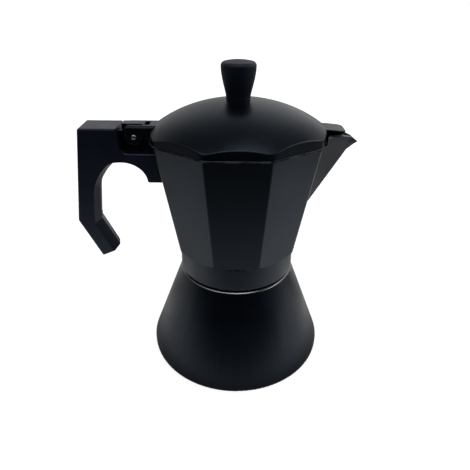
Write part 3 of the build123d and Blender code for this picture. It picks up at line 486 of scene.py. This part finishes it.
def knob_outline():
    """Knob's outline from its bore to the middle of its top: a curve for the flank, then two arcs that meet
    without a corner, the shoulder's and the crown's."""
    outline = [(KNOB_BORE_RADIUS, 0.0)]
    pulls = [Vector(point) for point in ((KNOB_SEAT_RADIUS, 0.0), KNOB_FLANK_FOOT, KNOB_FLANK_HEAD,
                                         (KNOB_RADIUS, KNOB_SHOULDER))]
    for step in range(FLANK_ROWS + 1):
        t = step / FLANK_ROWS
        shares = ((1 - t) ** 3, 3 * t * (1 - t) ** 2, 3 * t ** 2 * (1 - t), t ** 3)
        outline.append(sum((pull * share for pull, share in zip(pulls, shares)), Vector((0.0, 0.0))))
    rise = KNOB_TOP - KNOB_SHOULDER
    middle = KNOB_RADIUS - KNOB_SHOULDER_ROUND
    crown = KNOB_RADIUS ** 2 + rise ** 2 - 2 * KNOB_RADIUS * KNOB_SHOULDER_ROUND
    crown /= 2 * (rise - KNOB_SHOULDER_ROUND)
    crown_turn = math.atan2(middle, crown - rise)
    for step in range(1, SHOULDER_ROWS + 1):
        turn = (math.pi / 2 - crown_turn) * step / SHOULDER_ROWS
        outline.append((middle + KNOB_SHOULDER_ROUND * math.cos(turn),
                        KNOB_SHOULDER + KNOB_SHOULDER_ROUND * math.sin(turn)))
    for step in range(CROWN_ROWS - 1, -1, -1):
        turn = crown_turn * step / CROWN_ROWS
        outline.append((crown * math.sin(turn), KNOB_TOP - crown * (1 - math.cos(turn))))
    return outline


def knob_turning(plastic):
    """Knob, turned from its outline."""
    bm = bmesh.new()
    corners = [bm.verts.new(Vector((radius, 0.0, KNOB_SEAT + rise)) * MM) for radius, rise in knob_outline()]
    edges = [bm.edges.new(pair) for pair in zip(corners, corners[1:])]
    bmesh.ops.spin(bm, geom=corners + edges, cent=(0.0, 0.0, 0.0), axis=(0.0, 0.0, 1.0), angle=2 * math.pi,
                   steps=KNOB_STEPS, use_merge=True)
    bmesh.ops.remove_doubles(bm, verts=bm.verts, dist=MERGE_GAP)
    bmesh.ops.recalc_face_normals(bm, faces=bm.faces)
    finished(bm, "knob_turning", "lid", (plastic,), KNOB_ROUND, KNOB_SHARP_ANGLE, node_name="knob")


def handle_moulding(plastic):
    """Handle; the inner faces of its lower grip lean out to both sides from the ridge along their middle."""
    bm = merged_copy("handle")
    grip = [face for face in bm.faces
            if face.normal.dot(GRIP_FACING) > GRIP_ALIGNMENT and face.calc_area() > GRIP_AREA * MM ** 2]
    for corner in {corner for face in grip for corner in face.verts}:
        corner.co -= GRIP_FACING * GRIP_LEAN * abs(corner.co.y)
    finished(bm, "handle_moulding", "jug", (plastic,), HANDLE_ROUND, node_name="handle")


def place_stops(ramp, stops):
    """Set a colour ramp's stops from pairs of place and brightness."""
    while len(ramp.elements) > 1:
        ramp.elements.remove(ramp.elements[-1])
    for index, (place, level) in enumerate(stops):
        stop = ramp.elements[0] if index == 0 else ramp.elements.new(place)
        stop.position = place
        stop.color = (level, level, level, 1.0)


def faded(tree, level, sources, fades):
    """Brightness times a run of soft fades, each along one of the sources."""
    for source, start, end, first, last in fades:
        fade = node(tree, "ShaderNodeMapRange",
                    {"Value": sources[source], "From Min": start, "From Max": end, "To Min": first,
                     "To Max": last}, interpolation_type="SMOOTHSTEP")
        product = node(tree, "ShaderNodeMath", {0: level, 1: fade.outputs["Result"]}, operation="MULTIPLY")
        level = product.outputs["Value"]
    return level


def pale_floor():
    """Pale paper floor: white to the camera; to other rays a glow, a painted pool of light brightest beside
    the pot, with painted shadows.
    """
    bm = bmesh.new()
    bmesh.ops.create_grid(bm, x_segments=1, y_segments=1, size=FLOOR_HALF,
                          matrix=Matrix.Translation((0.0, FLOOR_SHIFT, 0.0)))
    mesh = bpy.data.meshes.new("pale_floor")
    bm.to_mesh(mesh)
    bm.free()
    floor = bpy.data.objects.new("pale_floor", mesh)
    bpy.context.collection.objects.link(floor)

    made, tree, shader, coords = material("pale_matt_paper")
    feed(tree, shader, {"Base Color": linear("#f0f0f0"), "Roughness": 0.9,
                        "Emission Color": linear("#ffffff"), "Emission Strength": 0.7})
    axes = node(tree, "ShaderNodeSeparateXYZ", {"Vector": coords})
    depth = node(tree, "ShaderNodeMapRange", {"Value": axes.outputs["Y"], "From Min": FLOOR_SPAN[0],
                                              "From Max": FLOOR_SPAN[1]})
    # Painted pool of light along the floor, dimmed below by the painted shadows
    painted_pool = node(tree, "ShaderNodeValToRGB", {"Fac": depth.outputs["Result"]})
    place_stops(painted_pool.color_ramp, FLOOR_STOPS)
    aside = node(tree, "ShaderNodeMath", {0: axes.outputs["X"]}, operation="ABSOLUTE")
    sources = {"x": axes.outputs["X"], "aside": aside.outputs["Value"]}
    for name, centre in (("from_foot", FOOT_SHADOW), ("from_spout_shadow", SPOUT_SHADOW),
                         ("from_pot_shadow", POT_SHADOW)):
        away = node(tree, "ShaderNodeVectorMath", {0: coords, 1: centre}, operation="DISTANCE")
        sources[name] = away.outputs["Value"]
    brightness = faded(tree, painted_pool.outputs["Color"], sources, FLOOR_FADES)
    painted_glow = node(tree, "ShaderNodeEmission", {"Strength": brightness})
    rays = node(tree, "ShaderNodeLightPath")
    seen = node(tree, "ShaderNodeMixShader", {0: rays.outputs["Is Camera Ray"], 1: painted_glow.outputs["Emission"],
                                              2: shader.outputs["BSDF"]})
    feed(tree, tree.nodes["Material Output"], {"Surface": seen.outputs["Shader"]})
    mesh.materials.append(made)


def studio_world():
    """White backdrop behind the pot, soft light from both sides and from high in front, dark elsewhere."""
    world = bpy.data.worlds.new("studio")
    world.use_nodes = True
    bpy.context.scene.world = world
    tree = world.node_tree
    towards = node(tree, "ShaderNodeTexCoord").outputs["Generated"]
    axes = node(tree, "ShaderNodeSeparateXYZ", {"Vector": towards})
    aside = node(tree, "ShaderNodeMath", {0: axes.outputs["X"]}, operation="ABSOLUTE")
    off_middle = node(tree, "ShaderNodeMath", {0: axes.outputs["X"], 1: FRONT_MIDDLE}, operation="SUBTRACT")
    from_middle = node(tree, "ShaderNodeMath", {0: off_middle.outputs["Value"]}, operation="ABSOLUTE")
    sources = {"x": axes.outputs["X"], "y": axes.outputs["Y"], "z": axes.outputs["Z"],
               "aside": aside.outputs["Value"], "from_middle": from_middle.outputs["Value"]}

    depth = node(tree, "ShaderNodeMapRange", {"Value": axes.outputs["Y"], "From Min": -1.0, "From Max": 1.0})
    backdrop = node(tree, "ShaderNodeValToRGB", {"Fac": depth.outputs["Result"]})
    place_stops(backdrop.color_ramp, BACKDROP_STOPS)
    light = faded(tree, backdrop.outputs["Color"], sources, BACKDROP_FADES)
    near, wide = (faded(tree, 1.0, sources, fades) for fades in (NEAR_FRONT_LIGHT, WIDE_FRONT_LIGHT))
    front = node(tree, "ShaderNodeMath", {0: near, 1: wide}, operation="MAXIMUM").outputs["Value"]
    sides = [faded(tree, 1.0, sources, fades) for fades in (LEFT_LIGHT, RIGHT_LIGHT, LEFT_FRONT_LIGHT)]
    for lamp in [front] + sides:
        light = node(tree, "ShaderNodeMath", {0: light, 1: lamp}, operation="ADD").outputs["Value"]
    rays = node(tree, "ShaderNodeLightPath")
    seen = node(tree, "ShaderNodeMath", {0: rays.outputs["Is Camera Ray"], 1: light}, operation="MAXIMUM")
    feed(tree, tree.nodes["Background"], {"Color": linear("#ffffff"), "Strength": seen.outputs["Value"]})


def camera_at_the_photograph():
    """Camera at the photograph's place and angle."""
    data = bpy.data.cameras.new("camera")
    data.sensor_width = SENSOR_WIDTH
    data.lens = FOCAL_PIXELS / IMAGE_SIDE * SENSOR_WIDTH
    data.clip_start = NEAR_CLIP
    camera = bpy.data.objects.new("camera", data)
    camera.location = CAMERA_PLACE
    turn = Matrix.Rotation(math.radians(CAMERA_YAW), 3, "Z")
    turn = turn @ Matrix.Rotation(math.radians(90 - CAMERA_PITCH), 3, "X")
    turn = turn @ Matrix.Rotation(math.radians(CAMERA_ROLL), 3, "Z")
    camera.rotation_euler = turn.to_euler()
    bpy.context.collection.objects.link(camera)
    bpy.context.scene.camera = camera


coating = satin_black_coating()
handle_plastic = moulded_black_plastic("moulded_black_plastic", 0.30, 0.38)
knob_plastic = moulded_black_plastic("matt_moulded_black_plastic", 0.50, 0.58)
spun_aluminium = turned_metal("spun_aluminium", "#a9aaab", "#cfcfce", 0.28, 0.35 * MM)
# Darker copy of the turned aluminium for the boiler's shoulder, neck and inside: painted shade that dims the
# shoulder ring's reflection
shade_darkened_aluminium = turned_metal("shade_darkened_aluminium", "#7a7b7e", "#96979a", 0.20, 0.35 * MM)
steel = turned_metal("bright_stainless_steel", "#a3a5a8", "#c9cbcd", 0.18, 0.4 * MM)
brass = turned_metal("turned_brass", "#a57f38", "#cfa856", 0.24, 0.4 * MM)
rubber = white_silicone_rubber()

boiler_casting(coating, shade_darkened_aluminium)
lid_shell(coating)
lid_end("lid_tongue", TONGUE_CUT, TONGUE_HALF_WIDTH, coating)
lid_end("lid_ears", EARS_CUT, EARS_HALF_WIDTH, coating)
jug_casting(coating)
valve_spring_coil(steel)
knob_turning(knob_plastic)
handle_moulding(handle_plastic)
for finish, names in ((steel, ("hinge_pin", "induction_plate", "handle_screw", "knob_screw", "knob_washer")),
                      (brass, ("valve_body", "valve_cap", "valve_plunger")),
                      (rubber, ("valve_washer", "gasket")),
                      (spun_aluminium, ("funnel", "funnel_plate", "filter_plate", "column", "column_cap"))):
    for name in names:
        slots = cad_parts[name].data.materials
        slots.clear()
        slots.append(finish)

pale_floor()
studio_world()
camera_at_the_photograph()
bpy.context.scene.view_settings.view_transform = "Standard"
